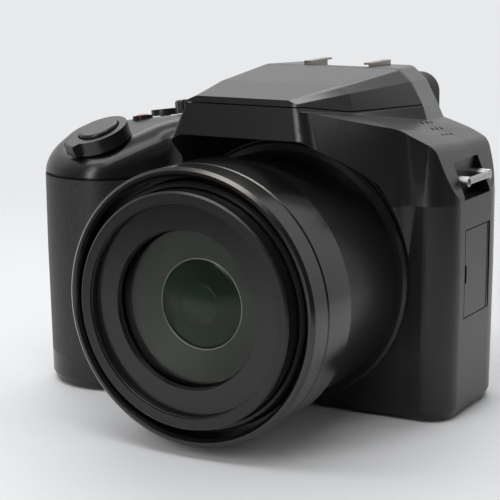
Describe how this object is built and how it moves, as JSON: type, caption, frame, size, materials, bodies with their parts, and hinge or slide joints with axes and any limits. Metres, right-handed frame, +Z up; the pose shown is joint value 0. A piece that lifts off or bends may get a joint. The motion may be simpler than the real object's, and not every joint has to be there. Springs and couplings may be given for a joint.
{
  "type": "bridge camera",
  "caption": "Bridge camera with a deep hand grip, an electronic viewfinder hump with a pop-up flash and hot shoe, and a telescoping zoom lens; it takes photographs and video",
  "frame": {"origin": "On the surface that the camera stands on, under the middle of its bounding box", "axes": "+Z up; +Y towards the photographer, so the lens looks along -Y; +X towards the terminal door, away from the hand grip"},
  "size_m": [0.1302, 0.1192, 0.0943],
  "materials": {
    "body_plastic": "fine textured satin black moulded plastic",
    "rubber": "black moulded rubber with a fine leather grain",
    "barrel_satin": "satin black anodised barrel",
    "glass_coated": "coated lens glass with a green and violet sheen",
    "glass_clear": "clear glass",
    "screen_glass": "clear cover glass of the monitor",
    "screen_panel": "dark display panel",
    "button_plastic": "satin black plastic",
    "button_gloss": "satin black with turned edges",
    "dial_plastic": "satin black plastic, knurled edge",
    "button_red": "satin black with a red mark",
    "shoe_steel": "brushed steel",
    "bar_steel": "bright steel",
    "contact_gold": "gold plated contacts",
    "frame_alloy": "plain alloy",
    "inner_plastic": "black glass-filled plastic",
    "reflector_chrome": "bright reflector",
    "board_green": "green circuit board",
    "battery_grey": "dark grey plastic case"
  },
  "bodies": {
    "body": {"front_cover": "body_plastic", "top_cover": "body_plastic", "rear_cover": "body_plastic", "grip_rubber": "rubber", "thumb_rubber": "rubber", "base_plate": "body_plastic", "base_screws": "bar_steel", "tripod_socket": "frame_alloy", "chassis": "frame_alloy", "main_board": "board_green", "battery_chamber": "inner_plastic", "battery": "battery_grey", "memory_card": "battery_grey", "door_pin": "bar_steel", "strap_bars": "bar_steel", "terminal_sockets": "inner_plastic", "monitor_glass": "screen_glass", "monitor_panel": "screen_panel", "viewfinder_housing": "body_plastic", "eyepiece_lens": "glass_clear", "eyecup": "rubber", "hot_shoe": "shoe_steel", "shoe_contacts": "contact_gold", "fixed_barrel": "barrel_satin", "front_ring": "barrel_satin", "flange_ring": "barrel_satin", "guide_rods": "bar_steel", "iris_unit": "inner_plastic", "image_sensor": "board_green", "zoom_motor": "frame_alloy", "flash_hinge_pins": "bar_steel"},
    "barrel_outer": {"zoom_barrel_outer": "barrel_satin"},
    "barrel_inner": {"zoom_barrel_inner": "barrel_satin", "name_ring": "barrel_satin", "front_element": "glass_coated", "lens_baffle": "inner_plastic"},
    "drive": {"drive_ring": "inner_plastic"},
    "variator": {"variator_group": "inner_plastic"},
    "focus": {"focus_group": "inner_plastic"},
    "flash": {"flash_lid": "body_plastic", "flash_reflector": "reflector_chrome", "flash_window": "glass_clear"},
    "shutter": {"shutter_button": "button_gloss"},
    "zoom_control": {"zoom_lever": "button_gloss"},
    "mode": {"mode_dial": "dial_plastic"},
    "power": {"power_lever": "dial_plastic"},
    "movie": {"movie_button": "button_red"},
    "drive_key": {"drive_button": "button_plastic"},
    "diopter": {"diopter_dial": "button_plastic"},
    "playback": {"playback_button": "button_plastic"},
    "display": {"display_button": "button_plastic"},
    "delete": {"delete_button": "button_plastic"},
    "lock": {"lock_button": "button_plastic"},
    "finder": {"finder_button": "button_plastic"},
    "pad": {"four_way_pad": "button_plastic"},
    "set_key": {"set_button": "button_plastic"},
    "wheel": {"thumb_wheel": "button_plastic"},
    "card_door": {"battery_door": "body_plastic"},
    "card_latch": {"door_latch": "button_plastic"},
    "port_door": {"terminal_door": "rubber"}
  },
  "joints": [
    {"name": "zoom_outer", "type": "slide", "parent": "body", "child": "barrel_outer", "axis": [0, -1, 0], "range_m": [0, 0.03]},
    {"name": "zoom_inner", "type": "slide", "parent": "barrel_outer", "child": "barrel_inner", "axis": [0, -1, 0], "range_m": [0, 0.03]},
    {"name": "drive_turn", "type": "hinge", "parent": "body", "child": "drive", "pos_m": [0.0159, 0.001, 0.0388], "axis": [0, -1, 0], "range_deg": [0, 120]},
    {"name": "variator_slide", "type": "slide", "parent": "body", "child": "variator", "axis": [0, 1, 0], "range_m": [0, 0.018]},
    {"name": "focus_slide", "type": "slide", "parent": "body", "child": "focus", "axis": [0, 1, 0], "range_m": [0, 0.005]},
    {"name": "flash_hinge", "type": "hinge", "parent": "body", "child": "flash", "pos_m": [0.0159, 0.0202, 0.091], "axis": [-1, 0, 0], "range_deg": [0, 38]},
    {"name": "shutter_press", "type": "slide", "parent": "body", "child": "shutter", "axis": [0.1296, 0.3553, -0.9257], "range_m": [0, 0.001], "stiffness_N_per_m": 600, "springref_m": -0.0004},
    {"name": "zoom_turn", "type": "hinge", "parent": "body", "child": "zoom_control", "pos_m": [-0.041, -0.01, 0.07177], "axis": [-0.1296, -0.3553, 0.9257], "range_deg": [-18, 18], "stiffness_Nm_per_rad": 0.02},
    {"name": "mode_turn", "type": "hinge", "parent": "body", "child": "mode", "pos_m": [-0.0234, 0.02, 0.07869], "axis": [-0.1384, 0.0565, 0.9888], "continuous": true},
    {"name": "power_turn", "type": "hinge", "parent": "body", "child": "power", "pos_m": [-0.041, 0.023, 0.07605], "axis": [-0.1384, 0.0565, 0.9888], "range_deg": [0, 40]},
    {"name": "movie_press", "type": "slide", "parent": "body", "child": "movie", "axis": [0.1384, -0.0565, -0.9888], "range_m": [0, 0.0006], "stiffness_N_per_m": 400, "springref_m": -0.0003},
    {"name": "drive_press", "type": "slide", "parent": "body", "child": "drive_key", "axis": [0.1384, -0.0565, -0.9888], "range_m": [0, 0.0006], "stiffness_N_per_m": 400, "springref_m": -0.0003},
    {"name": "diopter_turn", "type": "hinge", "parent": "body", "child": "diopter", "pos_m": [0.034, 0.0446, 0.077], "axis": [1, 0, 0], "continuous": true},
    {"name": "playback_press", "type": "slide", "parent": "body", "child": "playback", "axis": [0, -1, 0], "range_m": [0, 0.0006], "stiffness_N_per_m": 400, "springref_m": -0.0003},
    {"name": "display_press", "type": "slide", "parent": "body", "child": "display", "axis": [0, -1, 0], "range_m": [0, 0.0006], "stiffness_N_per_m": 400, "springref_m": -0.0003},
    {"name": "delete_press", "type": "slide", "parent": "body", "child": "delete", "axis": [0, -1, 0], "range_m": [0, 0.0006], "stiffness_N_per_m": 400, "springref_m": -0.0003},
    {"name": "lock_press", "type": "slide", "parent": "body", "child": "lock", "axis": [0, -1, 0], "range_m": [0, 0.0006], "stiffness_N_per_m": 400, "springref_m": -0.0003},
    {"name": "finder_press", "type": "slide", "parent": "body", "child": "finder", "axis": [0, -1, 0], "range_m": [0, 0.0006], "stiffness_N_per_m": 400, "springref_m": -0.0003},
    {"name": "pad_press", "type": "slide", "parent": "body", "child": "pad", "axis": [0, -1, 0], "range_m": [0, 0.0006], "stiffness_N_per_m": 400, "springref_m": -0.0003},
    {"name": "set_press", "type": "slide", "parent": "body", "child": "set_key", "axis": [0, -1, 0], "range_m": [0, 0.0006], "stiffness_N_per_m": 400, "springref_m": -0.0003},
    {"name": "wheel_turn", "type": "hinge", "parent": "body", "child": "wheel", "pos_m": [-0.038, 0.0346, 0.067], "axis": [0, 0, 1], "continuous": true},
    {"name": "battery_door_hinge", "type": "hinge", "parent": "body", "child": "card_door", "pos_m": [-0.0292, 0.007, 0.001], "axis": [0, -1, 0], "range_deg": [0, 100]},
    {"name": "latch_slide", "type": "slide", "parent": "card_door", "child": "card_latch", "axis": [0, 1, 0], "range_m": [0, 0.003]},
    {"name": "terminal_door_hinge", "type": "hinge", "parent": "body", "child": "port_door", "pos_m": [0.06315, 0.0246, 0.04], "axis": [0, 0, 1], "range_deg": [0, 80]}
  ],
  "couplings": [
    {"joint": "zoom_inner", "follows": "zoom_outer", "ratio": 1},
    {"joint": "drive_turn", "follows": "zoom_outer", "rad_per_m": 69.808},
    {"joint": "variator_slide", "follows": "zoom_outer", "ratio": 0.6}
  ]
}
